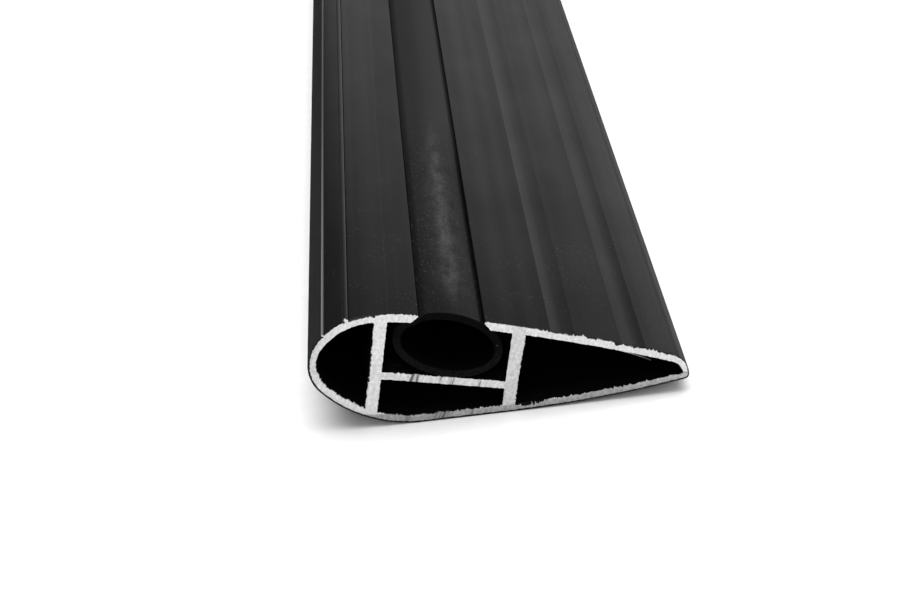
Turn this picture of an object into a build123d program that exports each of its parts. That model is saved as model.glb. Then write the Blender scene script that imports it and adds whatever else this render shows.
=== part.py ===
from build123d import *

import os
from math import asin, cos, degrees, radians, sin, sqrt

# Wing-section roof rack crossbar: one aluminium extrusion and the rubber strip that fills its T-slot.
# The section is drawn nose left and tail right. Its origin is on the slot's centre line, halfway through
# the shelf that floors the slot.

# Bar and walls, in millimetres
bar_length = 1200.0
skin_thickness = 1.6
web_thickness = 2.5
shelf_thickness = 1.5
chamber_corner_radius = 0.25

# Outline of tangent arcs, with a flat to lie on. An angle, in degrees, is how far the skin has turned since
# the crown.
crown_height = 13.6
crown_lead = 7.0
front_crown_radius = 51.8
front_crown_angle = 9.4
shoulder_radius = 14.5
shoulder_angle = 63.0
nose_radius = 8.1
nose_angle = 141.8
belly_radius = 25.0
belly_angle = 192.3
underside_flat = 16.0
rear_top_radius = 340.0
rear_top_run = 51.3
tail_radius = 5.1
tail_angle = 90.0
tail_corner_radius = 1.0
tail_wall_relief = 0.5

# Half-round lines along the front shoulder and hollows along the rear top
bead_radius = 0.65
bead_angle = 30.0
ridge_radius = 0.3
ridge_angle = 52.0
hollow_width = 5.0
hollow_depth = 0.25
front_hollow_run = 29.2
rear_hollow_run = 43.6

# T-slot between the webs. Its lips are bevelled at 45 degrees, and its opening is the gap between them.
slot_width = 24.6
slot_opening = 12.2
lip_edge_radius = 0.2

# Hollow rubber strip: an oval tube that stands on the shelf and rises out of the opening. It leans toward
# the front lip, by degrees, with a gap to each lip's bevel, and its wall is thinner where the lips pinch it.
strip_wall = 1.5
strip_pinched_wall = 0.7
strip_side_gap = 1.4
strip_proud = 1.1
strip_lean_angle = 6.0
strip_front_gap = 0.3
strip_rear_gap = 0.55
strip_clearance = 0.1


def on_arc(arc, start_angle, end_angle, angle):
    """Point of an outline arc where the skin has turned by the given angle."""
    return arc @ ((angle - start_angle) / (end_angle - start_angle))


# Solid outline: four arcs from the crown round the nose to the flat, two from the crown back to the tail, and
# one long arc that closes the underside
crown = (-crown_lead, crown_height)


def outline(top_run):
    """The outline's edges in order, with the rear top carried back by the given run."""
    top_angle = degrees(asin(top_run / rear_top_radius))
    with BuildLine(mode=Mode.PRIVATE):
        front_crown = JernArc(crown, (-1, 0), front_crown_radius, front_crown_angle)
        shoulder_sweep = shoulder_angle - front_crown_angle
        shoulder = JernArc(front_crown @ 1, front_crown % 1, shoulder_radius, shoulder_sweep)
        nose = JernArc(shoulder @ 1, shoulder % 1, nose_radius, nose_angle - shoulder_angle)
        belly = JernArc(nose @ 1, nose % 1, belly_radius, belly_angle - nose_angle)
        flat = PolarLine(belly @ 1, underside_flat, direction=belly % 1)
        rear_top = JernArc(crown, (1, 0), rear_top_radius, -top_angle)
        tail = JernArc(rear_top @ 1, rear_top % 1, tail_radius, top_angle - tail_angle)
        underside = TangentArc(flat @ 1, tail @ 1, tangent=flat % 1)
    return front_crown, shoulder, nose, belly, flat, rear_top, tail, underside


outside = outline(rear_top_run)
_, shoulder, _, _, _, rear_top, tail, _ = outside
with BuildSketch() as envelope:
    with BuildLine():
        add(outside)
    make_face()
section_height = envelope.sketch.bounding_box().size.Y

# Chambers: the inside of the skin, divided by two webs and the shelf between them. The relief carries the
# inside further back, for a thinner wall at the tail. Drawing the sharp chambers in by the corner radius and
# letting them out again rounds their corners.
web_inner_face = slot_width / 2
web_outer_face = web_inner_face + web_thickness
web_middle = (web_inner_face + web_outer_face) / 2
with BuildSketch() as chambers:
    with BuildLine():
        add(outline(rear_top_run + tail_wall_relief))
    make_face()
    offset(amount=-skin_thickness, kind=Kind.INTERSECTION, mode=Mode.REPLACE)
    with Locations((-web_middle, 0), (web_middle, 0)):
        Rectangle(web_thickness, 2 * section_height, mode=Mode.SUBTRACT)
    Rectangle(slot_width, shelf_thickness, mode=Mode.SUBTRACT)
    offset(amount=-chamber_corner_radius, kind=Kind.INTERSECTION, mode=Mode.REPLACE)
    offset(amount=chamber_corner_radius, kind=Kind.ARC, mode=Mode.REPLACE)

# Section of the extrusion. The bevels are two sides of a right-angled triangle.
bevel_apex = crown_height + slot_opening / 2
with BuildSketch() as bevels:
    with BuildLine():
        Polyline(
            (-web_inner_face, bevel_apex - web_inner_face),
            (web_inner_face, bevel_apex - web_inner_face),
            (0, bevel_apex),
            close=True,
        )
    make_face()
bead_centre = on_arc(shoulder, front_crown_angle, shoulder_angle, bead_angle)
ridge_centre = on_arc(shoulder, front_crown_angle, shoulder_angle, ridge_angle)
hollow_radius = ((hollow_width / 2) ** 2 + hollow_depth**2) / (2 * hollow_depth)
hollow_centre_radius = rear_top_radius + hollow_radius - hollow_depth
hollow_angles = [asin(run / rear_top_radius) for run in (front_hollow_run, rear_hollow_run)]
hollow_centres = [
    rear_top.arc_center + hollow_centre_radius * Vector(sin(angle), cos(angle)) for angle in hollow_angles
]
with BuildSketch() as section:
    add(envelope.sketch)
    fillet(section.vertices().sort_by_distance(tail @ 1)[0], tail_corner_radius)
    with Locations(bead_centre):
        Circle(bead_radius)
    with Locations(ridge_centre):
        Circle(ridge_radius)
    with Locations(hollow_centres):
        Circle(hollow_radius, mode=Mode.SUBTRACT)
    add(chambers.sketch, mode=Mode.SUBTRACT)
    add(bevels.sketch, mode=Mode.SUBTRACT)
    lip_edges = [
        section.vertices().sort_by_distance((side * slot_opening / 2, crown_height))[0] for side in (-1, 1)
    ]
    fillet(lip_edges, lip_edge_radius)

# Section of the strip. The oval's two radii give it, leaning, the width and the height that its place in the
# slot asks for. The slot's own shape, drawn in, keeps the oval and its bore clear of the lips.
strip_reach = web_inner_face - strip_side_gap
strip_bottom = shelf_thickness / 2 + strip_clearance
strip_top = crown_height + strip_proud
strip_rise = (strip_top - strip_bottom) / 2
lean = radians(strip_lean_angle)
strip_long_radius = sqrt(((strip_reach * cos(lean)) ** 2 - (strip_rise * sin(lean)) ** 2) / cos(2 * lean))
strip_short_radius = sqrt(((strip_rise * cos(lean)) ** 2 - (strip_reach * sin(lean)) ** 2) / cos(2 * lean))
with BuildSketch() as slot_room:
    add(chambers.faces().sort_by_distance((0, crown_height / 2))[0])
    add(bevels.sketch)


def oval(wall, drawn_in):
    """The leaning oval less a wall, kept inside the slot's room drawn in by the given amount. The same room
    shifted either way keeps it further from the bevels."""
    front_shift = sqrt(2) * (strip_front_gap - strip_clearance)
    rear_shift = sqrt(2) * (strip_clearance - strip_rear_gap)
    with BuildSketch() as shape:
        add(slot_room.sketch)
        offset(amount=-drawn_in, kind=Kind.INTERSECTION, mode=Mode.REPLACE)
        drawn_room = shape.sketch
        for shift in (front_shift, rear_shift):
            with Locations((shift, 0)):
                add(drawn_room, mode=Mode.INTERSECT)
        with Locations((0, (strip_top + strip_bottom) / 2)):
            Ellipse(
                strip_long_radius - wall,
                strip_short_radius - wall,
                rotation=-strip_lean_angle,
                mode=Mode.INTERSECT,
            )
    return shape.sketch


with BuildSketch() as strip_section:
    add(oval(0, strip_clearance))
    add(oval(strip_wall, strip_clearance + strip_pinched_wall), mode=Mode.SUBTRACT)

# The bar lies on its flat
rest_tilt = radians(belly_angle - 180)
lying_box = section.sketch.rotate(Axis.Z, -degrees(rest_tilt)).bounding_box()
section_plane = Plane(
    origin=(-lying_box.center().X, bar_length / 2, -lying_box.min.Y),
    x_dir=(cos(rest_tilt), 0, -sin(rest_tilt)),
    z_dir=(0, -1, 0),
)

with BuildPart() as crossbar_extrusion:
    with BuildSketch(section_plane):
        add(section.sketch)
    extrude(amount=bar_length)
crossbar_extrusion.part.label = "crossbar_extrusion"

with BuildPart() as slot_infill_strip:
    with BuildSketch(section_plane):
        add(strip_section.sketch)
    extrude(amount=bar_length)
slot_infill_strip.part.label = "slot_infill_strip"

os.makedirs("parts", exist_ok=True)
export_step(crossbar_extrusion.part, "parts/crossbar_extrusion.step")
export_step(slot_infill_strip.part, "parts/slot_infill_strip.step")
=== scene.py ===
import math

import bpy
import numpy as np
from mathutils import Matrix, Vector
from mathutils.geometry import tessellate_polygon


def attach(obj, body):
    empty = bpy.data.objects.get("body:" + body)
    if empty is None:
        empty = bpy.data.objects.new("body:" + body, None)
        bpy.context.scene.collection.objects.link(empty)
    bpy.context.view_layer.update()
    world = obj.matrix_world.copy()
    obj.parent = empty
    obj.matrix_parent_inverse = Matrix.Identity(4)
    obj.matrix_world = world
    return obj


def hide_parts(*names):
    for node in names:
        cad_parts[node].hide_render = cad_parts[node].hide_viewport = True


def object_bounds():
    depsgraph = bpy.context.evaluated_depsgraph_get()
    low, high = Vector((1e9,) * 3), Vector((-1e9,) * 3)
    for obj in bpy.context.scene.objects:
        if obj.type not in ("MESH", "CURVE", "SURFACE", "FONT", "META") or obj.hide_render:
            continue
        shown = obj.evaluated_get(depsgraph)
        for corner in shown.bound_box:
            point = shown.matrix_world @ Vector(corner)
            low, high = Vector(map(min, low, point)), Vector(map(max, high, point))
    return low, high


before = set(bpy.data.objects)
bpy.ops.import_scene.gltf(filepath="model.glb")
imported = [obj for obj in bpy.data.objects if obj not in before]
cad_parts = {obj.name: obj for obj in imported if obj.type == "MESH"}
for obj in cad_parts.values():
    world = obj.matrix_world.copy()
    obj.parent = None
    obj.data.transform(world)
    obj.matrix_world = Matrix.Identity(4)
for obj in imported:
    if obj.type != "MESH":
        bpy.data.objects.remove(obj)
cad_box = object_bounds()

# Section sizes in millimetres and degrees, the same as in the CAD source. Points of the section are complex
# numbers: the real part runs from the nose to the tail, the imaginary part up from the middle of the shelf.
BAR_LENGTH = 1200.0
SKIN, WEB, SHELF, CHAMBER_CORNER = 1.6, 2.5, 1.5, 0.25
CROWN = -7.0 + 13.6j
FRONT_CROWN_RADIUS, FRONT_CROWN_ANGLE = 51.8, 9.4
SHOULDER_RADIUS, SHOULDER_ANGLE = 14.5, 63.0
NOSE_RADIUS, NOSE_ANGLE = 8.1, 141.8
BELLY_RADIUS, BELLY_ANGLE, UNDERSIDE_FLAT = 25.0, 192.3, 16.0
REAR_TOP_RADIUS, REAR_TOP_RUN = 340.0, 51.3
TAIL_RADIUS, TAIL_ANGLE, TAIL_CORNER, TAIL_WALL_RELIEF = 5.1, 90.0, 1.0, 0.5
BEAD_RADIUS, BEAD_ANGLE = 0.65, 30.0
RIDGE_RADIUS, RIDGE_ANGLE = 0.3, 52.0
HOLLOW_WIDTH, HOLLOW_DEPTH = 5.0, 0.25
FRONT_HOLLOW_RUN, REAR_HOLLOW_RUN = 29.2, 43.6
SLOT_HALF, SLOT_OPENING, LIP_EDGE = 12.3, 12.2, 0.2
STRIP_WALL, STRIP_PINCHED_WALL, STRIP_SIDE_GAP, STRIP_PROUD = 1.5, 0.7, 1.4, 1.1
STRIP_LEAN, STRIP_FRONT_GAP, STRIP_REAR_GAP, STRIP_CLEARANCE = 6.0, 0.3, 0.55, 0.1

# Metres in a millimetre, and a value too small to count
MM = 0.001
HAIR = 1e-6

# Longest step along a curve, the most that it turns in one step, and the radius of the arc that stands for
# a flat
STEP, MOST_TURN, NEARLY_FLAT = 0.1, 15.0, 100000.0

# Points round the strip, and how many of them one running mean takes in
STRIP_POINTS, STRIP_EASING = 540, 9

# Directions across the section and shares of a turn, in degrees
RIGHT, UP, LEFT, LOWER_LEFT, DOWN, LOWER_RIGHT = 0.0, 90.0, 180.0, 225.0, 270.0, -45.0
QUARTER, HALF, FULL = 90.0, 180.0, 360.0


# Section geometry

def arc(centre, radius, start, end):
    """Points centre + radius * exp(i angle), with the angle running evenly from start to end in degrees."""
    sweep = abs(end - start)
    count = math.ceil(max(math.radians(sweep) * radius / STEP, sweep / MOST_TURN)) + 1
    return centre + radius * np.exp(1j * np.radians(np.linspace(start, end, count)))


def angle_of(offset):
    """Angle in degrees from the crown's upward normal to a direction, from -90 up to 270."""
    return math.degrees(np.angle(offset)) % FULL - UP


def normal_at(angle):
    """Unit outward normal where the skin has turned by an angle, in degrees, since the crown."""
    return 1j * np.exp(1j * math.radians(angle))


def circles_meet(centre_a, radius_a, centre_b, radius_b):
    """The crossing of two circles on the left of the line from a to b: along it by the cosine rule, then
    across."""
    apart = abs(centre_b - centre_a)
    along = (apart**2 + radius_a**2 - radius_b**2) / (2 * apart)
    across = math.sqrt(radius_a**2 - along**2)
    return centre_a + (centre_b - centre_a) / apart * (along + 1j * across)


def line_meets(start, heading, centre, radius):
    """The first point of a ray, start + s * heading, that lies on a circle which the ray enters or leaves."""
    middle = ((centre - start) * heading.conjugate()).real
    half_chord = math.sqrt(radius**2 - abs(start + middle * heading - centre) ** 2)
    near = middle - half_chord
    return start + (near if near > 0 else middle + half_chord) * heading


def outline_arcs(top_run):
    """The tangent arcs of the outline as (centre, radius, first angle, last angle), tail first and
    anticlockwise. Each arc's centre lies one radius along the inward normal from the point where the last arc
    ended. The flat is an arc of a radius so large that it doesn't show."""
    rear_angle = math.degrees(math.asin(top_run / REAR_TOP_RADIUS))
    rear_centre = CROWN - 1j * REAR_TOP_RADIUS
    tail_start = rear_centre + REAR_TOP_RADIUS * normal_at(-rear_angle)
    tail_centre = tail_start - TAIL_RADIUS * normal_at(-rear_angle)
    arcs = [
        (tail_centre, TAIL_RADIUS, -TAIL_ANGLE, -rear_angle),
        (rear_centre, REAR_TOP_RADIUS, -rear_angle, 0.0),
    ]
    at, angle = CROWN, 0.0
    for radius, last in (
        (FRONT_CROWN_RADIUS, FRONT_CROWN_ANGLE),
        (SHOULDER_RADIUS, SHOULDER_ANGLE),
        (NOSE_RADIUS, NOSE_ANGLE),
        (BELLY_RADIUS, BELLY_ANGLE),
        (NEARLY_FLAT, BELLY_ANGLE + math.degrees(UNDERSIDE_FLAT / NEARLY_FLAT)),
    ):
        centre = at - radius * normal_at(angle)
        arcs.append((centre, radius, angle, last))
        at, angle = centre + radius * normal_at(last), last
    chord = tail_centre + TAIL_RADIUS * normal_at(-TAIL_ANGLE) - at
    radius = abs(chord) ** 2 / (2 * (chord * (-normal_at(angle)).conjugate()).real)
    centre = at - radius * normal_at(angle)
    arcs.append((centre, radius, angle, angle_of(at + chord - centre)))
    return arcs


OUTSIDE_ARCS = outline_arcs(REAR_TOP_RUN)
INSIDE_ARCS = outline_arcs(REAR_TOP_RUN + TAIL_WALL_RELIEF)
TAIL, REAR_TOP, FRONT_CROWN, SHOULDER = OUTSIDE_ARCS[:4]


def arcs_at(inset):
    """The outside's own arcs, or those that the chambers are drawn in from."""
    return INSIDE_ARCS if inset else OUTSIDE_ARCS


def skin(inset, start, end):
    """The outline drawn in by inset, between two normal angles: every arc keeps its centre and its radius is
    less by the inset."""
    return np.concatenate([
        arc(centre, radius - inset, UP + max(low, start), UP + min(high, end))
        for centre, radius, low, high in arcs_at(inset)
        if max(low, start) < min(high, end)
    ])


def on_skin(inset, x, below):
    """Angle and point where the drawn-in outline crosses a station x, on its top or its underside:
    on an arc, x is the centre's x less the radius times the sine of the angle."""
    for centre, radius, low, high in arcs_at(inset):
        sine = (centre.real - x) / (radius - inset)
        if abs(sine) <= 1:
            angle = math.degrees(math.asin(sine))
            angle = HALF - angle if below else angle
            if low <= angle <= high:
                return angle, centre + (radius - inset) * normal_at(angle)
    raise ValueError(f"the outline has no point at {x}")


def web_corner(face, side, below):
    """Angle on the skin and centre of the round corner where the skin meets a web's face. side is +1 where
    the chamber lies to the right of the face."""
    return on_skin(SKIN + CHAMBER_CORNER, face + side * CHAMBER_CORNER, below)


def tail_corner(inset, radius):
    """Centre of the corner between underside and tail on the outline drawn in by inset, with its two
    angles."""
    tail, *_, under = arcs_at(inset)
    drawn = inset + radius
    centre = circles_meet(under[0], under[1] - drawn, tail[0], tail[1] - drawn)
    return centre, angle_of(centre - under[0]), angle_of(centre - tail[0])


def joined(*runs):
    """One closed loop: the runs in order, with the straight joins between them cut into even steps."""
    parts = []
    for run, following in zip(runs, runs[1:] + runs[:1]):
        gap = following[0] - run[-1]
        count = math.ceil(abs(gap) / STEP)
        parts += [run, run[-1] + gap * np.arange(1, count) / max(count, 1)]
    loop = np.concatenate(parts)
    return loop[np.abs(loop - np.roll(loop, 1)) > HAIR]


def nose_chamber():
    """Web face, round corner, the skin drawn in round the nose, and the lower round corner."""
    face = -(SLOT_HALF + WEB)
    top, top_centre = web_corner(face, -1, False)
    low, low_centre = web_corner(face, -1, True)
    return joined(
        arc(top_centre, CHAMBER_CORNER, RIGHT, UP + top),
        skin(SKIN, top, low),
        arc(low_centre, CHAMBER_CORNER, UP + low, FULL),
    )


def lower_chamber():
    """Two round corners under the shelf, two on the underside's skin, and that skin between them."""
    ceiling = -SHELF / 2 - CHAMBER_CORNER
    side = SLOT_HALF - CHAMBER_CORNER
    left, left_centre = web_corner(-SLOT_HALF, 1, True)
    right, right_centre = web_corner(SLOT_HALF, -1, True)
    return joined(
        arc(side + 1j * ceiling, CHAMBER_CORNER, RIGHT, UP),
        arc(-side + 1j * ceiling, CHAMBER_CORNER, UP, LEFT),
        arc(left_centre, CHAMBER_CORNER, LEFT, UP + left),
        skin(SKIN, left, right),
        arc(right_centre, CHAMBER_CORNER, UP + right, FULL),
    )


def tail_chamber():
    """Rear web's face, the underside's skin, the corner at the tail, and the skin back along the rear top."""
    face = SLOT_HALF + WEB
    top, top_centre = web_corner(face, 1, False)
    low, low_centre = web_corner(face, 1, True)
    corner, under_angle, tail_angle = tail_corner(SKIN, CHAMBER_CORNER)
    return joined(
        arc(low_centre, CHAMBER_CORNER, LEFT, UP + low),
        skin(SKIN, low, under_angle),
        arc(corner, CHAMBER_CORNER, UP + under_angle, UP + tail_angle + FULL),
        skin(SKIN, tail_angle, top),
        arc(top_centre, CHAMBER_CORNER, UP + top, LEFT),
    )


APEX = 1j * (CROWN.imag + SLOT_OPENING / 2)
REAR_BEVEL, FRONT_BEVEL = np.exp(1j * np.radians([LOWER_RIGHT, LOWER_LEFT]))


def bump(angle, radius):
    """A half-round line of its own centre on the shoulder, with the two shoulder angles that it covers:
    a circle on a larger one meets it at twice the arcsine of half the ratio of their radii."""
    half = math.degrees(2 * math.asin(radius / (2 * SHOULDER[1])))
    centre = SHOULDER[0] + SHOULDER[1] * normal_at(angle)
    reach = QUARTER + half / 2
    return angle - half, arc(centre, radius, UP + angle - reach, UP + angle + reach), angle + half


def hollow(run):
    """A shallow hollow in the rear top, with the two angles that it covers: an arc about a centre outside."""
    radius = ((HOLLOW_WIDTH / 2) ** 2 + HOLLOW_DEPTH**2) / (2 * HOLLOW_DEPTH)
    away = REAR_TOP[1] + radius - HOLLOW_DEPTH
    angle = -math.degrees(math.asin(run / REAR_TOP[1]))
    half = math.degrees(math.acos((REAR_TOP[1] ** 2 + away**2 - radius**2) / (2 * REAR_TOP[1] * away)))
    turn = math.degrees(math.acos((radius**2 + away**2 - REAR_TOP[1] ** 2) / (2 * radius * away)))
    centre, inwards = REAR_TOP[0] + away * normal_at(angle), UP + angle + HALF
    return angle - half, arc(centre, radius, inwards + turn, inwards - turn), angle + half


def outer_loop():
    """The outside from the front lip round nose, underside and tail to the rear lip, then down through the
    T-slot and back: bevel, lip, web, shelf, web, lip, bevel."""
    lifted = APEX + 1j * math.sqrt(2) * LIP_EDGE
    front_tip = line_meets(lifted, FRONT_BEVEL, REAR_TOP[0], REAR_TOP[1] - LIP_EDGE)
    rear_tip = line_meets(lifted, REAR_BEVEL, REAR_TOP[0], REAR_TOP[1] - LIP_EDGE)
    front_angle = angle_of(front_tip - REAR_TOP[0])
    rear_angle = angle_of(rear_tip - REAR_TOP[0])
    front_under = line_meets(APEX, FRONT_BEVEL, FRONT_CROWN[0], FRONT_CROWN[1] - SKIN)
    rear_under = line_meets(APEX, REAR_BEVEL, REAR_TOP[0], REAR_TOP[1] - SKIN)
    bead_low, bead, bead_high = bump(BEAD_ANGLE, BEAD_RADIUS)
    ridge_low, ridge, ridge_high = bump(RIDGE_ANGLE, RIDGE_RADIUS)
    rear_low, rear_hollow, rear_high = hollow(REAR_HOLLOW_RUN)
    front_low, front_hollow, front_high = hollow(FRONT_HOLLOW_RUN)
    corner, under_angle, tail_angle = tail_corner(0.0, TAIL_CORNER)
    front_web, front_web_centre = web_corner(-SLOT_HALF, 1, False)
    rear_web, rear_web_centre = web_corner(SLOT_HALF, -1, False)
    floor = SHELF / 2 + CHAMBER_CORNER
    side = SLOT_HALF - CHAMBER_CORNER
    slot = [
        arc(side + 1j * floor, CHAMBER_CORNER, DOWN, FULL),
        arc(rear_web_centre, CHAMBER_CORNER, RIGHT, UP + rear_web),
        skin(SKIN, rear_web, angle_of(rear_under - REAR_TOP[0])),
        skin(SKIN, angle_of(front_under - FRONT_CROWN[0]), front_web),
        arc(front_web_centre, CHAMBER_CORNER, UP + front_web, LEFT),
        arc(-side + 1j * floor, CHAMBER_CORNER, LEFT, DOWN),
    ]
    inside = [run[::-1] for run in (slot[2], slot[1], slot[0], slot[5], slot[4], slot[3])]
    return joined(
        arc(front_tip, LIP_EDGE, LOWER_RIGHT, UP + front_angle),
        skin(0.0, front_angle, bead_low),
        bead,
        skin(0.0, bead_high, ridge_low),
        ridge,
        skin(0.0, ridge_high, under_angle),
        arc(corner, TAIL_CORNER, UP + under_angle, UP + tail_angle + FULL),
        skin(0.0, tail_angle, rear_low),
        rear_hollow,
        skin(0.0, rear_high, front_low),
        front_hollow,
        skin(0.0, front_high, rear_angle),
        arc(rear_tip, LIP_EDGE, UP + rear_angle, LOWER_LEFT),
        *inside,
    )


def reach_of(ray, start, centre, radius):
    """How far rays from a start inside a circle run before they leave it."""
    along = ((centre - start) * ray.conjugate()).real
    return along + np.sqrt(radius**2 - abs(centre - start) ** 2 + along**2)


def strip_oval(wall, drawn_in):
    """Points all round the strip's middle, each as far out as the leaning ellipse or, where that is less,
    as the slot's room drawn in, which ends at the farther of the lip's underside and its bevel. A running
    mean of those reaches eases the creases."""
    low, high = SHELF / 2 + STRIP_CLEARANCE, CROWN.imag + STRIP_PROUD
    middle, rise, reach = 1j * (high + low) / 2, (high - low) / 2, SLOT_HALF - STRIP_SIDE_GAP
    lean = math.radians(STRIP_LEAN)
    cosine, sine = math.cos(lean), math.sin(lean)
    long_radius = math.sqrt(((reach * cosine) ** 2 - (rise * sine) ** 2) / math.cos(2 * lean)) - wall
    short_radius = math.sqrt(((rise * cosine) ** 2 - (reach * sine) ** 2) / math.cos(2 * lean)) - wall
    angle = np.linspace(0.0, 2 * math.pi, STRIP_POINTS, endpoint=False)
    ray = np.exp(1j * angle)
    ellipse = 1 / np.hypot(np.cos(angle + lean) / long_radius, np.sin(angle + lean) / short_radius)
    slope = np.maximum(np.abs(ray.real) + ray.imag, HAIR)
    gap = np.where(ray.real < 0, STRIP_FRONT_GAP, STRIP_REAR_GAP) - STRIP_CLEARANCE
    bevel = (APEX.imag - math.sqrt(2) * (drawn_in + gap) - middle.imag) / slope
    front_lip = reach_of(ray, middle, FRONT_CROWN[0], FRONT_CROWN[1] - SKIN - drawn_in)
    rear_lip = reach_of(ray, middle, REAR_TOP[0], REAR_TOP[1] - SKIN - drawn_in)
    room = np.maximum(bevel, np.where(ray.real < 0, front_lip, rear_lip))
    reaches = np.pad(np.minimum(ellipse, room), STRIP_EASING // 2, mode="wrap")
    return middle + ray * np.convolve(reaches, np.full(STRIP_EASING, 1 / STRIP_EASING), mode="valid")


def strip_loops():
    """Outside of the strip, and its bore drawn in further from the lips by the pinched wall."""
    return [strip_oval(0.0, STRIP_CLEARANCE), strip_oval(STRIP_WALL, STRIP_CLEARANCE + STRIP_PINCHED_WALL)]


bar_loops = [outer_loop(), nose_chamber(), lower_chamber(), tail_chamber()]

# The bar lies on its flat.
TURN = np.exp(-1j * math.radians(BELLY_ANGLE - HALF))
lying = bar_loops[0] * TURN
PLACE = -(lying.real.min() + lying.real.max()) / 2 - 1j * lying.imag.min()
chance = np.random.default_rng(11)


def in_place(section, depth):
    """World points in metres of section points at a depth behind the near cut: turned to the rest tilt,
    shifted to the frame's origin, and held inside the CAD box. Without that hold the arcs would pass the
    CAD's facets by 0.02 mm, and the far rim's burr would pass the box by 0.15 mm."""
    lying = np.broadcast_to(section, np.broadcast_shapes(np.shape(section), np.shape(depth))) * TURN + PLACE
    y = np.broadcast_to(depth, lying.shape) - BAR_LENGTH / 2
    points = np.stack([lying.real, y, lying.imag], -1) * MM
    return np.clip(points, np.array(cad_box[0]), np.array(cad_box[1]))


# Rims and sweeps

# Depths of the rings behind the near cut, and the same from the far one
NEAR_DEPTHS = np.array([0.0, 0.2, 0.45, 1.0, 3.0, 30.0, 180.0])
DEPTHS = np.concatenate([NEAR_DEPTHS, BAR_LENGTH - NEAR_DEPTHS[::-1]])

# Where depths lie across the baking map, with most room near the cuts, the share of its height that the walls
# have, and the millimetres between them
BAKE_DEPTHS = [0.0, 0.25, 3.0, 100.0, 600.0, 1100.0, 1197.0, 1199.75, 1200.0]
BAKE_PLACES = [0.005, 0.012, 0.03, 0.3, 0.66, 0.92, 0.98, 0.989, 0.995]
WALLS_SHARE, WALLS_APART = 0.45, 1.0

# The saw's marks on the rims, and the middle of the slot, which a broken edge looks away from
FINE_GRAIN, COARSE_GRAIN, TOOTH_PITCH, TOOTH_FOOT, TOOTH_SHARE = 0.22, 1.3, 0.38, 0.2, 0.8
UNEVEN_RIM, BURR_SHOWS, BROKEN_EDGE = 0.16, 0.09, 0.46
SLOT_MIDDLE = 7.0j

# Faces that meet at more than this are shaded as an edge
SHARP_ANGLE = 40.0

# Sides of a sliver, the share of its thickness that its tip keeps, and its ends' size on the baking map
SLIVER_SIDES, SLIVER_TIP, SLIVER_END_SHARE = 8, 0.25, 0.02


def ragged(along, grain):
    """Heights from 0 to 1 along a rim: random ones at even knots, joined by straight lines."""
    knots = np.arange(0.0, along[-1] + 2 * grain, grain)
    return np.interp(along, knots, chance.random(len(knots)))


def toothed(along):
    """Heights from 0 to 1 along a rim: low at every other knot and of random height between, like saw
    teeth."""
    heights = chance.random(2 * math.ceil(along[-1] / TOOTH_PITCH) + 2)
    heights[::2] *= TOOTH_FOOT
    return np.interp(along, TOOTH_PITCH / 2 * np.arange(len(heights)), heights)


def run_along(loop):
    """Distance along a loop at each of its points, from the first."""
    return np.concatenate([[0.0], np.cumsum(np.abs(np.diff(loop)))])


def outward(loop):
    """Unit normals on the right of the direction of travel, which is away from the metal."""
    ahead = np.roll(loop, -1) - np.roll(loop, 1)
    return -1j * ahead / np.abs(ahead)


def burred(loop, burrs, broken_edge=0.0):
    """The loop as the saw left it: shifted along its normals by ragged burrs, and drawn in by the broken
    edge on the faces that look away from the slot. Each burr has the direction that it stands in, the axis
    that its stations are counted along, and the least and the most shift at those, below zero where metal
    broke away. A burr is full where the rim faces its direction and gone at 60 degrees from that."""
    normal, along = outward(loop), run_along(loop)
    shift = UNEVEN_RIM * (ragged(along, FINE_GRAIN) - 0.5)
    looks_away = (normal * (loop - SLOT_MIDDLE).conjugate()).real > 0
    shift -= broken_edge * looks_away * np.clip(1 - normal.imag, 0, 1)
    for direction, axis, stations, least, most in burrs:
        faces = np.clip((normal * np.conj(direction)).real * 2 - 1, 0, 1)
        station = (loop * np.conj(axis)).real
        low, high = np.interp(station, stations, least), np.interp(station, stations, most)
        grain = (1 - TOOTH_SHARE) * ragged(along, COARSE_GRAIN) + TOOTH_SHARE * toothed(along)
        shift += faces * (low + (high - low) * grain)
    return loop + normal * shift


def wall_grid(count):
    """Ring and place of the four corners of each quad between neighbouring rings of a loop."""
    ring, place = np.meshgrid(np.arange(len(DEPTHS) - 1), np.arange(count), indexing="ij")
    rings = np.stack([ring, ring + 1, ring + 1, ring], -1)
    places = np.stack([place, place, place + 1, place + 1], -1)
    return rings.reshape(-1, 4), places.reshape(-1, 4)


def cut_face(rims):
    """Triangles of the flat cut between an outside and its holes, anticlockwise, and the section's points."""
    section = np.concatenate(rims)
    flat = [np.stack([rim.real, rim.imag, np.zeros(len(rim))], -1) for rim in rims]
    found = np.array(tessellate_polygon(flat))
    a, b, c = section[found.T]
    clockwise = ((b - a).conjugate() * (c - a)).imag < 0
    found[clockwise] = found[clockwise][:, ::-1]
    return found, section


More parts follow.
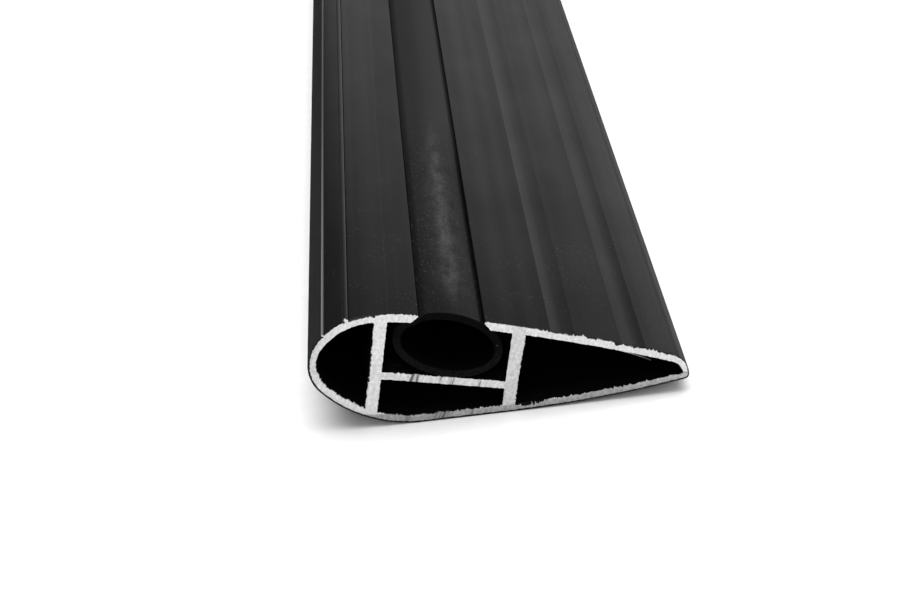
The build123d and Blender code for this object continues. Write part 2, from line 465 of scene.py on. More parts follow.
def mesh_piece(name, points, quads, triangles, maps, finishes, slots):
    """A mesh of quads and triangles, with its maps by name and the number of each face's finish."""
    mesh = bpy.data.meshes.new(name)
    mesh.vertices.add(len(points))
    mesh.vertices.foreach_set("co", points.astype(np.float32).ravel())
    corners = np.concatenate([quads.ravel(), triangles.ravel()])
    mesh.loops.add(len(corners))
    mesh.loops.foreach_set("vertex_index", corners.astype(np.int32))
    starts = np.concatenate([4 * np.arange(len(quads)), 4 * len(quads) + 3 * np.arange(len(triangles))])
    mesh.polygons.add(len(starts))
    mesh.polygons.foreach_set("loop_start", starts.astype(np.int32))
    for map_name, places in maps.items():
        layer = mesh.uv_layers.new(name=map_name)
        layer.uv.foreach_set("vector", places.astype(np.float32).ravel())
    for finish in finishes:
        mesh.materials.append(finish)
    mesh.polygons.foreach_set("material_index", slots.astype(np.int32))
    mesh.update(calc_edges=True)
    mesh.shade_smooth()
    mesh.set_sharp_from_angle(angle=math.radians(SHARP_ANGLE))
    piece = bpy.data.objects.new(name, mesh)
    bpy.context.scene.collection.objects.link(piece)
    return piece


def swept(name, loops, near_rims, far_rims, finishes, caps):
    """A bar of constant section: each loop carried along the depths, with its rims at both ends, and flat
    cuts. The first loop runs anticlockwise and the others, which are its holes, clockwise. finishes are
    those of the walls, one for each loop, and of the cuts, which bare burrs share. caps are the corner and
    scale of each cut on the baking map."""
    spread = np.interp(DEPTHS, BAKE_DEPTHS, BAKE_PLACES)
    closed_runs = [run_along(np.append(loop, loop[0])) for loop in loops]
    bake_scale = WALLS_SHARE / sum(run[-1] + WALLS_APART for run in closed_runs)
    firsts = np.cumsum([0] + [len(DEPTHS) * len(loop) for loop in loops])
    points, quads, slots, lay, bake = [], [], [], [], []
    bake_height = 0.0
    for number, (loop, near, far, run) in enumerate(zip(loops, near_rims, far_rims, closed_runs)):
        grid = np.repeat(loop[None], len(DEPTHS), 0)
        grid[0], grid[-1] = near, far
        points.append(in_place(grid, DEPTHS[:, None]).reshape(-1, 3))
        rings, places = wall_grid(len(loop))
        quads.append(firsts[number] + rings * len(loop) + places % len(loop))
        lay.append(np.stack([run[places], DEPTHS[rings]], -1).reshape(-1, 2) * MM)
        bake.append(np.stack([spread[rings], bake_height + run[places] * bake_scale], -1).reshape(-1, 2))
        bake_height += (run[-1] + WALLS_APART) * bake_scale
        stands = ((near - loop) * outward(loop).conjugate()).real > BURR_SHOWS
        bare = (rings[:, 0] == 0) & stands[places[:, 0]]
        slots.append(np.where(bare, len(loops), number))
    triangles = []
    for ring, rims, (corner, scale) in ((0, near_rims, caps[0]), (len(DEPTHS) - 1, far_rims, caps[1])):
        found, section = cut_face(rims)
        found = found if ring == 0 else found[:, ::-1]
        names = [first + ring * len(rim) + np.arange(len(rim)) for first, rim in zip(firsts, rims)]
        triangles.append(np.concatenate(names)[found])
        flat = np.stack([section.real, section.imag], -1)
        lay.append(flat[found].reshape(-1, 2) * MM)
        bake.append((np.array(corner) + (flat - flat.min(0)) * scale)[found].reshape(-1, 2))
    triangles = np.concatenate(triangles)
    slots.append(np.full(len(triangles), len(loops)))
    maps = {"lay": np.concatenate(lay), "OFBake": np.concatenate(bake)}
    return mesh_piece(name, np.concatenate(points), np.concatenate(quads), triangles, maps, finishes,
                      np.concatenate(slots))


def sliver(name, path, thickness, depth, finish):
    """A thin curl of metal: rings of a round section about a path's points, r * cos(a) along the path's
    normal in the cut and r * sin(a) into it, with the thickness tapering towards the free end, and flat
    ends."""
    ahead = np.gradient(path)
    across = 1j * ahead / np.abs(ahead)
    round_it = np.linspace(0.0, 2 * math.pi, SLIVER_SIDES, endpoint=False)
    radius = thickness / 2 * np.linspace(1.0, SLIVER_TIP, len(path))[:, None]
    section = path[:, None] + radius * np.cos(round_it) * across[:, None]
    points = in_place(section, depth + radius * np.sin(round_it)).reshape(-1, 3)
    ring, side = np.meshgrid(np.arange(len(path) - 1), np.arange(SLIVER_SIDES), indexing="ij")
    rings = np.stack([ring, ring, ring + 1, ring + 1], -1).reshape(-1, 4)
    sides = np.stack([side, side + 1, side + 1, side], -1).reshape(-1, 4)
    quads = rings * SLIVER_SIDES + sides % SLIVER_SIDES
    fan = np.arange(1, SLIVER_SIDES - 1)
    near_fan = np.stack([np.zeros_like(fan), fan + 1, fan], -1)
    triangles = np.concatenate([near_fan, near_fan[:, ::-1] + (len(path) - 1) * SLIVER_SIDES])
    spread = np.stack([rings / len(path), sides / (SLIVER_SIDES + 1)], -1).reshape(-1, 2)
    ends = np.stack([np.cos(round_it), np.sin(round_it)], -1) * SLIVER_END_SHARE + 1 - 2 * SLIVER_END_SHARE
    bake = np.concatenate([spread, ends[triangles % SLIVER_SIDES].reshape(-1, 2)])
    slots = np.zeros(len(quads) + len(triangles))
    return mesh_piece(name, points, quads, triangles, {"lay": bake, "OFBake": bake}, [finish], slots)


# Shader expressions

class Wire:
    """An output socket. Arithmetic between wires and numbers adds Math nodes, and node() adds any other."""

    def __init__(self, tree, socket=None):
        self.tree, self.socket = tree, socket

    def node(self, kind, settings, sockets, out=0):
        """One output of a new node, once its settings are made and its sockets have their values or links."""
        made = self.tree.nodes.new("ShaderNode" + kind)
        for name, value in settings.items():
            setattr(made, name, value)
        for key, value in sockets.items():
            if isinstance(value, Wire):
                self.tree.links.new(value.socket, made.inputs[key])
            else:
                made.inputs[key].default_value = value
        return Wire(self.tree, made.outputs[out])

    def maths(self, operation, *values):
        """A Math node on the values, in order."""
        return self.node("Math", {"operation": operation}, dict(enumerate(values)))

    def __add__(self, other):
        return self.maths("ADD", self, other)

    def __sub__(self, other):
        return self.maths("SUBTRACT", self, other)

    def __rsub__(self, other):
        return self.maths("SUBTRACT", other, self)

    def __mul__(self, other):
        return self.maths("MULTIPLY", self, other)

    __radd__, __rmul__ = __add__, __mul__

    def __abs__(self):
        return self.maths("ABSOLUTE", self)

    def rise(self, low, high):
        """0 below low, 1 above high, and a smooth step between. With low above high it falls instead."""
        ends = {"From Min": low, "From Max": high}
        return self.node("MapRange", {"interpolation_type": "SMOOTHSTEP"}, {"Value": self, **ends})

    def between(self, low, high):
        """low where this is 0, high where it is 1, and a straight line through both."""
        return low + (high - low) * self

    def blend(self, colour_a, colour_b):
        """colour_a where this is 0 and colour_b where it is 1. Sockets 6 and 7 of a Mix node are its
        colours."""
        return self.node("Mix", {"data_type": "RGBA"}, {0: self, 6: colour_a, 7: colour_b}, out=2)

    def greys(self, dark, pale):
        """The grey dark where this is 0 and the grey pale where it is 1."""
        return self.blend(grey(dark), grey(pale))

    def stretched(self, x, y):
        """This vector with its first two parts scaled."""
        return self.node("VectorMath", {"operation": "MULTIPLY"}, {0: self, 1: (x, y, 1.0)})

    def towards(self, direction):
        """How far this vector points along a direction."""
        return self.node("VectorMath", {"operation": "DOT_PRODUCT"}, {0: self, 1: direction}, out="Value")

    def away_from(self, point):
        """How far this vector's place is from a point."""
        return self.node("VectorMath", {"operation": "DISTANCE"}, {0: self, 1: point}, out="Value")

    def noise(self, scale, detail):
        """Smooth noise about a half, at a scale, with finer layers on it."""
        return self.node("TexNoise", {}, {"Vector": self, "Scale": scale, "Detail": detail})

    def part(self, index):
        """The first, second or third part of this vector."""
        return self.node("SeparateXYZ", {}, {"Vector": self}, out=index)


def grey(level):
    """An opaque grey."""
    return (level, level, level, 1.0)


def finished(name, build):
    """A material whose surface is the shader that build returns."""
    made = bpy.data.materials.new(name)
    made.use_nodes = True
    made.node_tree.nodes.clear()
    shader = build(Wire(made.node_tree))
    output = made.node_tree.nodes.new("ShaderNodeOutputMaterial")
    made.node_tree.links.new(shader.socket, output.inputs["Surface"])
    return made


def principled(wire, **sockets):
    """A Principled shader, with an underscore for each space in the names of its sockets."""
    named = {key.replace("_", " "): value for key, value in sockets.items()}
    return wire.node("BsdfPrincipled", {}, named)


def sheened(wire, colour, share, rough, normal):
    """A colour that only scatters light, with a share of white mirror that doesn't grow at grazing angles."""
    body = principled(wire, Base_Color=colour, Roughness=0.9, Specular_IOR_Level=0.0)
    sheen = principled(wire, Base_Color=grey(0.9), Metallic=1.0, Roughness=rough, Normal=normal)
    return wire.node("MixShader", {}, {0: share, 1: body, 2: sheen})


def bumped(wire, height, distance):
    """The surface's normal, tilted by a height of which 1 stands out by the distance in metres."""
    return wire.node("Bump", {}, {"Height": height, "Distance": distance, "Strength": 1.0})


def laid(wire):
    """On a wall, the distance along the section and along the bar. On a cut, the place in the section. Both
    are in metres."""
    return wire.node("UVMap", {"uv_map": "lay"}, {})


def placed(wire):
    """Place in the frame, in metres."""
    return wire.node("TexCoord", {}, {}, out="Object")


SPECK_CORE = 0.5


def specks(place, scale, share, size):
    """Round specks of uneven strength: near the middle of a share of the cells of a Voronoi pattern."""
    cells = {"Vector": place, "Scale": scale}
    near = place.node("TexVoronoi", {}, cells)
    chosen = place.node("TexVoronoi", {}, cells, out="Color").part(0)
    return near.rise(size, size * SPECK_CORE) * chosen.rise(1 - share, 1.0)


def lay_of(point):
    """Distance along the outline, in metres, to its nearest point."""
    outline = bar_loops[0]
    return run_along(outline)[np.abs(outline - point).argmin()] * MM


def line_at(lay, point, half, core=0.0):
    """1 along the outline's nearest point to a point of the section, as far as the core on either side,
    fading to 0 at half a width away. Both are in millimetres."""
    return abs(lay.part(0) - lay_of(point)).rise(half * MM, core * MM)


# Finishes. Scales of patterns are per metre, along the section and along the bar or the same all ways.
# Greys run from 0 to 1.

OXIDE_LINES, OXIDE_BANDS, OXIDE_CLOUD = (1400.0, 1.2), (190.0, 1.6), (70.0, 40.0)
OXIDE_GRAIN, OXIDE_RELIEF = 5200.0, 0.01 * MM
OXIDE_GREYS = (0.003, 0.007)
TONE_OF_LINES, TONE_OF_CLOUD, TONE_OF_BANDS, RELIEF_OF_LINES = 0.15, 0.35, 0.5, 0.6
OXIDE_ROUGH, ROUGH_OF_LINES, ROUGH_OF_CLOUD = 0.12, 0.04, 0.05
SHEEN, SHEEN_OF_TONE, SHEEN_TONES, SHEEN_OF_LINES_AND_PAINTED = 0.013, 0.006, (0.3, 0.7), 0.006
DUST_SCALE, DUST_SHARE, DUST_SIZE, DUST_PATCHES, PATCH_EDGE = 2100.0, 0.35, 0.27, 110.0, (0.46, 0.66)
DUST_REACH, DUST_BEYOND, DUST_GREY = 140.0 * MM, 0.06, 0.11
RIDGE_TOP = SHOULDER[0] + (SHOULDER[1] + RIDGE_RADIUS) * normal_at(RIDGE_ANGLE)
BEAD_RUN = bump(BEAD_ANGLE, BEAD_RADIUS)[1]
BEAD_SIDE, BY_BEAD = BEAD_RUN[-4], BEAD_RUN[0]
# Painted highlight on the ridge and bead: half widths, the bead's share, what stays far from the cut, its
# grey
RIDGE_HIGHLIGHT_HALF, BEAD_HIGHLIGHT_HALF, BEAD_HIGHLIGHT_SHARE, HIGHLIGHT_BEYOND, HIGHLIGHT_GREY = 0.7, 0.2, 0.3, 0.4, 0.14
# Die lines, and the half width of a band of painted sheen at the bead's foot
DIE_LINES, DIE_LINE_HALF, BY_BEAD_HALF = [-18.4 + 11.8j, -12.3 + 13.3j], 0.12, 6.0
# The tail's side, whose painted sheen stands for the light its round catches at grazing angles
TAIL_SIDE = TAIL[0] + TAIL[1] * normal_at(-62.0)
TAIL_SIDE_HALF, TAIL_SIDE_CORE, TAIL_SIDE_PAINTED_SHEEN = 3.4, 2.3, 7.0


def anodised(wire):
    """Satin black oxide: a black that scatters light, with a small share of mirror. Die lines along the bar
    and a soft cloud change that share, and the bead's foot and the tail's side have more of it, a painted
    sheen. The ridge and the bead carry a painted grey highlight, strongest near the cut, and dust lies near
    the cut."""
    lay, place = laid(wire), placed(wire)
    lines = lay.stretched(*OXIDE_LINES).noise(1.0, 3.0)
    bands = lay.stretched(*OXIDE_BANDS).noise(1.0, 1.0)
    cloud = lay.stretched(*OXIDE_CLOUD).noise(1.0, 5.0)
    grain = place.noise(OXIDE_GRAIN, 1.0)
    near_cut = lay.part(1).rise(DUST_REACH, 0.0)
    patches = place.noise(DUST_PATCHES, 4.0).rise(*PATCH_EDGE)
    dust = specks(place, DUST_SCALE, DUST_SHARE, DUST_SIZE) * near_cut.between(DUST_BEYOND, 1.0) * patches
    # A painted highlight along the ridge and the bead, strongest near the cut
    ridge, bead = line_at(lay, RIDGE_TOP, RIDGE_HIGHLIGHT_HALF), line_at(lay, BEAD_SIDE, BEAD_HIGHLIGHT_HALF)
    painted_highlight = near_cut.between(HIGHLIGHT_BEYOND, 1.0) * (ridge + BEAD_HIGHLIGHT_SHARE * bead)
    tone = TONE_OF_LINES * lines + TONE_OF_CLOUD * cloud + TONE_OF_BANDS * bands
    dusty = dust.blend(tone.greys(*OXIDE_GREYS), grey(DUST_GREY))
    colour = painted_highlight.blend(dusty, grey(HIGHLIGHT_GREY))
    drawn = sum(line_at(lay, point, DIE_LINE_HALF) for point in DIE_LINES)
    tail_side = line_at(lay, TAIL_SIDE, TAIL_SIDE_HALF, TAIL_SIDE_CORE)
    # Die lines have more mirror, and the bead's foot and the tail's side a painted sheen
    lines_and_painted_sheen = drawn + line_at(lay, BY_BEAD, BY_BEAD_HALF) + TAIL_SIDE_PAINTED_SHEEN * tail_side
    share = SHEEN + SHEEN_OF_TONE * tone.rise(*SHEEN_TONES) + SHEEN_OF_LINES_AND_PAINTED * lines_and_painted_sheen
    rough = OXIDE_ROUGH + ROUGH_OF_LINES * lines + ROUGH_OF_CLOUD * cloud
    height = RELIEF_OF_LINES * lines + (1 - RELIEF_OF_LINES) * grain
    return sheened(wire, colour, share, rough, bumped(wire, height, OXIDE_RELIEF))


CHAMBER_LINES, CHAMBER_GREYS, CHAMBER_ROUGH = (1800.0, 1.5), (0.001, 0.003), (0.6, 0.7)


def chamber_walls(wire):
    """The same black oxide inside the chambers, painted darker as shade where no light reaches, with die
    lines along it.
    """
    lines = laid(wire).stretched(*CHAMBER_LINES).noise(1.0, 3.0)
    colour, rough = lines.greys(*CHAMBER_GREYS), lines.between(*CHAMBER_ROUGH)
    return principled(wire, Base_Color=colour, Roughness=rough, Specular_IOR_Level=0.05)


FLAT, UNDERSIDE = OUTSIDE_ARCS[-2:]
FLAT_RISE = -normal_at(BELLY_ANGLE)
REAR_WEB = SLOT_HALF + WEB / 2
LOWER_WALL, SHELF_BAND = (1.75 * MM, 1.5 * MM), (1.2 * MM, 0.8 * MM)
REAR_WEB_BAND, NOSE_BAND, DARKER_SHARE = (1.8 * MM, 1.2 * MM), (-19.0 * MM, -27.0 * MM), 0.5
SHELF_STAINS, SHELF_STAINED = [(-5.8, 1.6), (1.7, 0.9), (-0.6, 0.5), (7.2, 0.5)], 0.12
WALL_STAINS, WALL_STAINED = [(0.6, 2.4), (-6.2, 0.9), (6.5, 0.5)], 0.08
STAIN_CORE, STAIN_GREY, PIT_GREY = 0.3, 0.10, 0.14
SAW_SLANT, SAW_MARKS, SAW_STROKES = 14.0, (2600.0, 200.0), (1900.0, 160.0)
STROKE_EDGE, STROKE_STRENGTH = (0.46, 0.60), (0.25, 0.9)
SAWN_PITS, PIT_EDGE, PIT_STRENGTH = 3000.0, (0.56, 0.68), (0.16, 0.38)
SAWN_MOTTLE, BRIGHT_OF_MARKS, BRIGHT_EDGE = 1500.0, 0.3, (0.3, 0.7)
SAWN_ROUGH, SAWN_RELIEF = (0.38, 0.63), 0.05 * MM
# Greys of the bright and the darker metal, and the lower wall's darker greys, a painted shade
BRIGHT_METAL, DARKER_METAL, SHADED_WALL_GREYS = (0.49, 0.71), (0.32, 0.56), (0.265, 0.48)


def flat_vector(point):
    """A point of the section as a vector."""
    return (point.real, point.imag, 0.0)


def above_underside(lay):
    """Height of a point of the section above the underside: the lesser of its distances in from the flat and
    from the underside's arc."""
    on_flat = FLAT[0] - FLAT[1] * FLAT_RISE
    from_flat = lay.towards(flat_vector(FLAT_RISE)) - (on_flat * FLAT_RISE.conjugate()).real * MM
    from_arc = UNDERSIDE[1] * MM - lay.away_from(flat_vector(UNDERSIDE[0] * MM))
    return lay.maths("MINIMUM", from_flat, from_arc)


def stains_at(lay, stains):
    """1 at the middle of each stain, given by its station along the section and its half width, and 0
    elsewhere."""
    return sum(
        abs(lay.part(0) - middle * MM).rise(half * MM, half * MM * STAIN_CORE) for middle, half in stains
    )


def sawn(wire):
    """Bare aluminium from the saw: a mottled grain with pits and faint slanting marks. The rear web and the
    nose are darker, and the lower wall darker still, a painted shade. Dark strokes stain the shelf and the
    lower wall."""
    lay, place = laid(wire), placed(wire)
    slant = lay.node("Mapping", {}, {"Vector": lay, "Rotation": (0.0, 0.0, math.radians(SAW_SLANT))})
    marks = slant.stretched(*SAW_MARKS).noise(1.0, 3.0)
    strokes = slant.stretched(*SAW_STROKES).noise(1.0, 2.0).rise(*STROKE_EDGE)
    mottle = place.noise(SAWN_MOTTLE, 4.0)
    pits = place.noise(SAWN_PITS, 2.0).rise(*PIT_EDGE)
    wall = above_underside(lay).rise(*LOWER_WALL)
    shelf = abs(lay.part(1)).rise(*SHELF_BAND)
    shelf_stain = shelf * (SHELF_STAINED + stains_at(lay, SHELF_STAINS))
    wall_stain = wall * (WALL_STAINED + stains_at(lay, WALL_STAINS))
    darker_parts = abs(lay.part(0) - REAR_WEB * MM).rise(*REAR_WEB_BAND) + lay.part(0).rise(*NOSE_BAND)
    bright = (BRIGHT_OF_MARKS * marks + (1 - BRIGHT_OF_MARKS) * mottle).rise(*BRIGHT_EDGE)
    metal = (DARKER_SHARE * darker_parts).blend(bright.greys(*BRIGHT_METAL), bright.greys(*DARKER_METAL))
    # The lower wall painted darker: painted shade
    with_wall_shade = wall.blend(metal, bright.greys(*SHADED_WALL_GREYS))
    stain = (shelf_stain + wall_stain) * strokes.between(*STROKE_STRENGTH)
    stained = stain.blend(with_wall_shade, grey(STAIN_GREY))
    colour = (pits * wall.between(*PIT_STRENGTH)).blend(stained, grey(PIT_GREY))
    return principled(wire, Base_Color=colour, Metallic=1.0, Roughness=mottle.between(*SAWN_ROUGH),
                      Normal=bumped(wire, bright, SAWN_RELIEF))


strip_outside, strip_bore = strip_loops()
BLOOM_TURN = 0.232
BLOOM_MIDDLE = run_along(strip_outside)[round(STRIP_POINTS * BLOOM_TURN)] * MM
BLOOM_STARTS, BLOOM_ENDS = (0.0, 20.0 * MM), (125.0 * MM, 65.0 * MM)
BLOOM_HALF_WIDTHS, BLOOM_OF_WIDTH, BLOOM_GREY = (2.4 * MM, 5.6 * MM), 0.5, 0.055
BLOOM_EVEN, BLOOM_OF_POWDER, BLOOM_OF_MOTTLE = 0.5, 0.5, 0.3
BLOOM_CLOUD_EDGE, BLOOM_MOTTLE_EDGE = (0.1, 0.75), (0.4, 0.75)
# The rear side, and the painted highlight farther back: where it begins and is full, its strength off and on
# that side
REAR_SIDE, FLANK_LIGHT_REACH = (-4.0 * MM, 3.0 * MM), (65.0 * MM, 120.0 * MM)
FLANK_LIGHT_STRENGTH, FLANK_LIGHT_GREY = (0.3, 0.85), 0.02
# Where dust gathers near the cut, and the reach and strength of the painted shade on the front side
STRIP_NEAR_CUT, FRONT_SHADE_REACH, FRONT_SHADE_SHARE = (70.0 * MM, 10.0 * MM), 50.0 * MM, 0.4
STRIP_DUST_SCALE, STRIP_DUST_SHARE, STRIP_DUST_SIZE, STRIP_DUST_GREY = 2400.0, 0.5, 0.33, 0.11
STRIP_DUST_LEAST, STRIP_DUST_OF_BLOOM, STRIP_DUST_OF_CUT, STRIP_DUST_EDGE = 0.1, 0.6, 0.25, (0.3, 0.6)
RUBBER_LINES, RUBBER_CLOUD = (900.0, 3.0), (400.0, 150.0)
RUBBER_MOTTLE, RUBBER_POWDER, POWDER_EDGE = 1100.0, 3000.0, (0.42, 0.68)
RUBBER_GREYS, RUBBER_SHEEN, RUBBER_ROUGH = (0.003, 0.006), (0.009, 0.013), (0.40, 0.50)
RUBBER_RELIEF, RUBBER_RELIEF_OF_LINES = 0.04 * MM, 0.5


def rubber(wire):
    """Matt black rubber with drawn lines along it and fine specks. Near the cut its crown has a pale cloudy
    bloom, and its front side has less mirror, a painted shade. Farther back a painted highlight lies on it,
    mostly on its rear side."""
    lay, place = laid(wire), placed(wire)
    lines = lay.stretched(*RUBBER_LINES).noise(1.0, 3.0)
    cloud = lay.stretched(*RUBBER_CLOUD).noise(1.0, 5.0)
    mottle = place.noise(RUBBER_MOTTLE, 5.0)
    powder = place.noise(RUBBER_POWDER, 3.0).rise(*POWDER_EDGE)
    depth = lay.part(1)
    reach = depth.rise(*BLOOM_STARTS) * depth.rise(*BLOOM_ENDS)
    beside = abs(lay.part(0) - BLOOM_MIDDLE)
    crown = sum(BLOOM_OF_WIDTH * beside.rise(half, 0.0) for half in BLOOM_HALF_WIDTHS)
    mottled = BLOOM_EVEN + BLOOM_OF_POWDER * powder + BLOOM_OF_MOTTLE * mottle.rise(*BLOOM_MOTTLE_EDGE)
    bloom = reach * crown * cloud.rise(*BLOOM_CLOUD_EDGE) * mottled
    rear_side = (BLOOM_MIDDLE - lay.part(0)).rise(*REAR_SIDE)
    # A painted highlight farther back, mostly on the rear flank, for the light that flank catches
    painted_flank_light = depth.rise(*FLANK_LIGHT_REACH) * rear_side.between(*FLANK_LIGHT_STRENGTH)
    amount = STRIP_DUST_LEAST + STRIP_DUST_OF_BLOOM * reach + STRIP_DUST_OF_CUT * depth.rise(*STRIP_NEAR_CUT)
    scattered = specks(place, STRIP_DUST_SCALE, STRIP_DUST_SHARE, STRIP_DUST_SIZE)
    dust = scattered * amount * mottle.rise(*STRIP_DUST_EDGE)
    flank_lit = painted_flank_light.blend(lines.greys(*RUBBER_GREYS), grey(FLANK_LIGHT_GREY))
    colour = dust.blend(bloom.blend(flank_lit, grey(BLOOM_GREY)), grey(STRIP_DUST_GREY))
    # Less mirror on the front side near the cut: a painted shade
    painted_front_shade = depth.rise(FRONT_SHADE_REACH, 0.0) * (1 - rear_side)
    share = lines.between(*RUBBER_SHEEN) * (1 - FRONT_SHADE_SHARE * painted_front_shade)
    height = RUBBER_RELIEF_OF_LINES * lines + (1 - RUBBER_RELIEF_OF_LINES) * mottle
    normal = bumped(wire, height, RUBBER_RELIEF)
    return sheened(wire, colour, share, mottle.between(*RUBBER_ROUGH), normal)


CUT_RUBBER_GRAIN, CUT_RUBBER_EDGE, CUT_RUBBER_RELIEF = 1800.0, (0.3, 0.7), 0.1 * MM
CUT_RUBBER_GREYS, CUT_RUBBER_LOW, CUT_RUBBER_ABOVE = (0.0008, 0.0055), (10.0 * MM, 5.0 * MM), 0.2
CUT_DUST_SCALE, CUT_DUST_SHARE, CUT_DUST_SIZE = 1300.0, 0.10, 0.2
CUT_DUST_SIDE, CUT_DUST_GREY = (4.0 * MM, 8.0 * MM), 0.08


def rubber_cut(wire):
    """The strip's sawn end: a dull, very dark rubber with a torn grain, paler low down, and a few specks."""
    lay, place = laid(wire), placed(wire)
    grain = place.noise(CUT_RUBBER_GRAIN, 4.0)
    low_down = lay.part(1).rise(*CUT_RUBBER_LOW)
    pale = grain.rise(*CUT_RUBBER_EDGE) * low_down.between(CUT_RUBBER_ABOVE, 1.0)
    dust = specks(place, CUT_DUST_SCALE, CUT_DUST_SHARE, CUT_DUST_SIZE) * lay.part(0).rise(*CUT_DUST_SIDE)
    colour = dust.blend(pale.greys(*CUT_RUBBER_GREYS), grey(CUT_DUST_GREY))
    return principled(wire, Base_Color=colour, Roughness=0.9, Specular_IOR_Level=0.05,
                      Normal=bumped(wire, grain, CUT_RUBBER_RELIEF))


BORE_LINES, BORE_GREYS, BORE_ROUGH = (1500.0, 3.0), (0.0008, 0.002), (0.85, 0.95)


def rubber_bore(wire):
    """The strip's inside, a darker rubber as painted shade where no light reaches."""
    lines = laid(wire).stretched(*BORE_LINES).noise(1.0, 3.0)
    colour, rough = lines.greys(*BORE_GREYS), lines.between(*BORE_ROUGH)
    return principled(wire, Base_Color=colour, Roughness=rough, Specular_IOR_Level=0.02)


anodised_finish = finished("black_anodised", anodised)
chamber_finish = finished("black_chamber", chamber_walls)
sawn_finish = finished("sawn_aluminium", sawn)
rubber_finish = finished("strip_rubber", rubber)
rubber_cut_finish = finished("cut_rubber", rubber_cut)
rubber_bore_finish = finished("bore_rubber", rubber_bore)

# Pieces

ALONG, UP_IT = 1.0, 1j
UPWARD, UP_AND_BACK, TAILWARD, NOSEWARD = 1j, np.exp(1j * math.radians(55.0)), 1.0, -1.0
bar_loops = [bar_loops[0]] + [loop[::-1] for loop in bar_loops[1:]]

# Millimetres of section that fill the width given to a cut on the baking map
BAR_ROOM, STRIP_ROOM = 76.0, 22.0

# Corner and scale of the near and the far cut on it
BAR_CUTS = [((0.01, 0.66), 0.98 / BAR_ROOM), ((0.01, 0.49), 0.49 / BAR_ROOM)]
STRIP_CUTS = [((0.01, 0.66), 0.48 / STRIP_ROOM), ((0.51, 0.66), 0.48 / STRIP_ROOM)]

# Burrs on the near rims: direction, axis, stations, least and most shift
outside_burrs = [
    (UPWARD, ALONG, [-20.4, -19.6, -17.5, -16.4, -15.0, -13.8],
     [0, -0.7, -0.75, -0.5, -0.7, 0], [0, 0.15, 0.1, 0.2, 0.1, 0]),
    (UPWARD, ALONG, [-13, -12, 11, 13], [0, -0.05, -0.05, 0], [0, 0.3, 0.3, 0]),
    (UPWARD, ALONG, [13, 17, 20, 25, 26, 27, 31, 32.4, 33.2, 34, 38, 41, 43, 46, 48],
     [0, -0.2, -0.4, -0.35, -0.2, -0.35, -0.3, -0.3, -0.9, -0.5, -0.4, -0.4, -0.6, -0.4, 0],
     [0, 0.3, 0.5, 0.5, 0.75, 0.5, 0.45, 0.3, -0.4, 0.3, 0.35, 0.3, 0, 0, 0]),
]
chamber_burrs = [
    [
        (UP_AND_BACK, ALONG, [-33, -29, -23, -16, -14], [0, 0, 0, 0, 0], [0.1, 0.5, 0.85, 0.9, 0.6]),
        (NOSEWARD, UP_IT, [-6, -2, 2, 9], [-0.2, -0.45, -0.4, -0.1], [0.15, 0.2, 0.1, 0.1]),
    ],
    [
        (UPWARD, ALONG, [-13, 12], [-0.1, -0.1], [0.6, 0.6]),
        (TAILWARD, UP_IT, [-7, 0], [-0.1, -0.1], [0.2, 0.2]),
    ],
    [
        (UPWARD, ALONG, [14.5, 15.2, 16.5, 18, 19, 20.5, 22, 26, 44, 47],
         [-0.2, -0.3, -0.9, -1.0, -0.9, -0.4, -0.1, -0.1, -0.1, 0],
         [0.2, 0.2, 0.3, 0.3, 0.4, 0.5, 0.65, 0.65, 0.6, 0.2]),
        (TAILWARD, UP_IT, [-6, 5.5, 7.5, 9.5, 10.5, 11.2],
         [-0.1, -0.1, 0, 0, 0, 0], [0.15, 0.15, 0.2, 0.5, 0.6, 0.2]),
    ],
]
near_rims = [burred(bar_loops[0], outside_burrs, BROKEN_EDGE)]
near_rims += [burred(loop, burrs) for loop, burrs in zip(bar_loops[1:], chamber_burrs)]
far_burrs = [(UPWARD, ALONG, [-30, 50], [-0.1, -0.1], [0.2, 0.2])]
far_rims = [burred(loop, far_burrs) for loop in bar_loops]
bar = swept(
    "crossbar_extrusion_visual", bar_loops, near_rims, far_rims,
    [anodised_finish, chamber_finish, chamber_finish, chamber_finish, sawn_finish],
    BAR_CUTS,
)
strip_shapes = [strip_outside, strip_bore[::-1]]
strip = swept(
    "slot_infill_strip_visual", strip_shapes, strip_shapes, strip_shapes,
    [rubber_finish, rubber_bore_finish, rubber_cut_finish],
    STRIP_CUTS,
)

# The sliver starts on the underside of the rear top's skin and falls away from it ever faster.
SLIVER_FROM, SLIVER_TO, SLIVER_POINTS = 33.4, 40.4, 30
SLIVER_DROP, SLIVER_CURL, SLIVER_THICKNESS, SLIVER_DEPTH = 0.75, 1.5, 0.22, 0.15
sliver_runs = np.linspace(0.0, 1.0, SLIVER_POINTS)
skin_centre, skin_radius = INSIDE_ARCS[1][0], INSIDE_ARCS[1][1] - SKIN
across = SLIVER_FROM + (SLIVER_TO - SLIVER_FROM) * sliver_runs - skin_centre.real
on_underside = skin_centre + across + 1j * np.sqrt(skin_radius**2 - across**2)
sliver_path = on_underside - 1j * SLIVER_DROP * sliver_runs**SLIVER_CURL
hanging_sliver = sliver("hanging_sliver", sliver_path, SLIVER_THICKNESS, SLIVER_DEPTH, sawn_finish)
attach(hanging_sliver, "root")
for piece, node, slot in (
    (bar, "crossbar_extrusion", "anodised_aluminium"),
    (strip, "slot_infill_strip", "strip_rubber"),
):
    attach(piece, "root")
    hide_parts(node)

# Floor, light and camera

FLOOR_HALF, FLOOR_DROP = 40.0, 0.05 * MM
CARD_UNEVENNESS, CARD_GREYS = 260.0, (0.84, 0.92)


def white_card(wire):
    """Plain white card with a very faint unevenness."""
    colour = placed(wire).noise(CARD_UNEVENNESS, 4.0).greys(*CARD_GREYS)
    return principled(wire, Base_Color=colour, Roughness=0.9, Specular_IOR_Level=0.1)


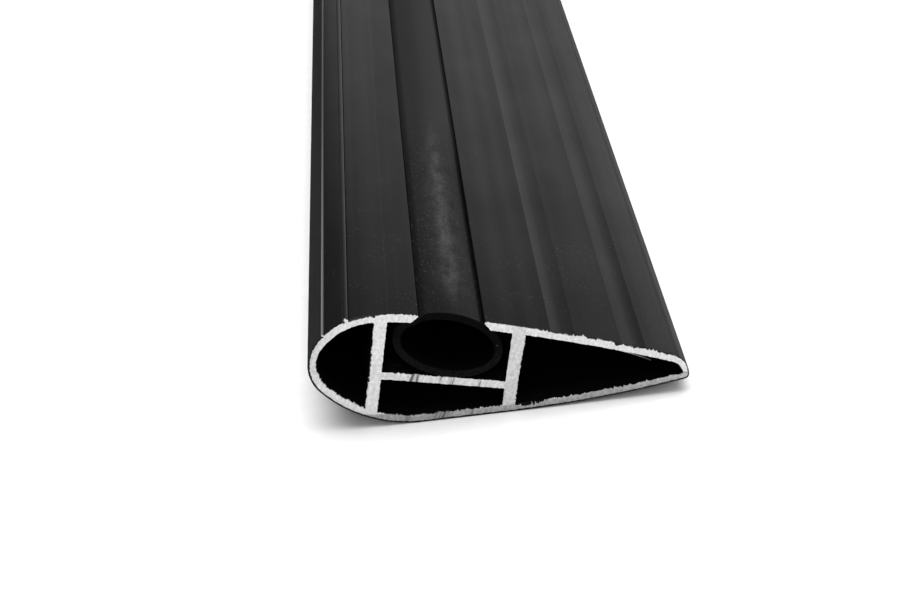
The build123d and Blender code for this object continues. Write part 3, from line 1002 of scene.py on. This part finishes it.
floor_mesh = bpy.data.meshes.new("floor")
corners = np.array([[-1, -1], [1, -1], [1, 1], [-1, 1]]) * FLOOR_HALF
floor_mesh.from_pydata(np.column_stack([corners, np.full(4, -FLOOR_DROP)]).tolist(), [], [(0, 1, 2, 3)])
floor = bpy.data.objects.new("floor", floor_mesh)
floor_mesh.materials.append(finished("white_card", white_card))
bpy.context.scene.collection.objects.link(floor)


def heading(azimuth, elevation):
    """Unit direction at an azimuth to the right of +Y and an elevation, both in degrees."""
    flat = math.cos(math.radians(elevation))
    turn = math.radians(azimuth)
    return (flat * math.sin(turn), flat * math.cos(turn), math.sin(math.radians(elevation)))


# Light of the sky, and how it falls off to the left and to the front. Then the soft boxes: level, heading,
# and the cosines of the angles from it where the light begins and where it is full.
SKY_LEVEL, LEFT_LEVEL, LEFT_TO_SKY = 0.45, 0.25, (-0.6, 0.3)
FRONT_SHARE, FRONT_TO_SKY = 0.9, (-0.5, 0.3)
OVERHEAD = (3.9, heading(10.0, 86.0), 0.74, 0.96)
GLOW = (4.6, heading(3.5, 0.0), 0.885, 0.99)
KEY = (1.6, heading(36.0, 3.0), 0.908, 0.965)
FILL = (1.6, heading(185.0, 24.0), 0.85, 0.97)


def studio(wire):
    """Soft light from all round: dimmer on the left and in front, a wide soft box overhead, a glow low
    behind the bar, a bright soft box low on the right and a soft fill from the front. Each box is a smooth
    step of the cosine of the angle from its heading."""
    looking = wire.node("TexCoord", {}, {}, out="Generated")
    level = looking.part(0).rise(*LEFT_TO_SKY).between(LEFT_LEVEL, SKY_LEVEL)
    level = level * looking.part(1).rise(*FRONT_TO_SKY).between(FRONT_SHARE, 1.0)
    for strength, direction, edge, core in (OVERHEAD, GLOW, KEY, FILL):
        level = level + strength * looking.towards(direction).rise(edge, core)
    return wire.node("Background", {}, {"Color": level, "Strength": 1.0})


world = bpy.data.worlds.new("studio")
bpy.context.scene.world = world
world.use_nodes = True
world.node_tree.nodes.clear()
world_output = world.node_tree.nodes.new("ShaderNodeOutputWorld")
world.node_tree.links.new(studio(Wire(world.node_tree)).socket, world_output.inputs["Surface"])

# The camera's place and axes, in the section and along the bar behind the near cut
FOCAL_PIXELS, IMAGE_WIDTH, SENSOR = 2063.0, 920.0, 36.0
NEAREST, FARTHEST = 0.01, 200.0
EYE_SECTION, EYE_DEPTH = -39.7 + 185.1j, -359.9
EYE_RIGHT = (0.99156238, -0.05923807, 0.11530346)
EYE_UP = (-0.07882085, 0.43064375, 0.89907354)
EYE_AHEAD = (0.1029141, 0.90057582, -0.42234095)


def from_section(direction):
    """A direction along the section's chord, the bar and the section's height, turned to the rest tilt."""
    turned = complex(direction[0], direction[2]) * TURN
    return Vector((turned.real, direction[1], turned.imag))


eye_place = EYE_SECTION * TURN + PLACE
eye = Vector((eye_place.real, EYE_DEPTH - BAR_LENGTH / 2, eye_place.imag)) * MM
camera_data = bpy.data.cameras.new("camera")
camera_data.sensor_width = SENSOR
camera_data.lens = FOCAL_PIXELS / IMAGE_WIDTH * SENSOR
camera_data.clip_start, camera_data.clip_end = NEAREST, FARTHEST
camera = bpy.data.objects.new("camera", camera_data)
bpy.context.scene.collection.objects.link(camera)
axes = Matrix((from_section(EYE_RIGHT), from_section(EYE_UP), -from_section(EYE_AHEAD))).transposed()
camera.matrix_world = Matrix.Translation(eye) @ axes.to_4x4()
bpy.context.scene.camera = camera
bpy.context.scene.view_settings.view_transform = "Standard"
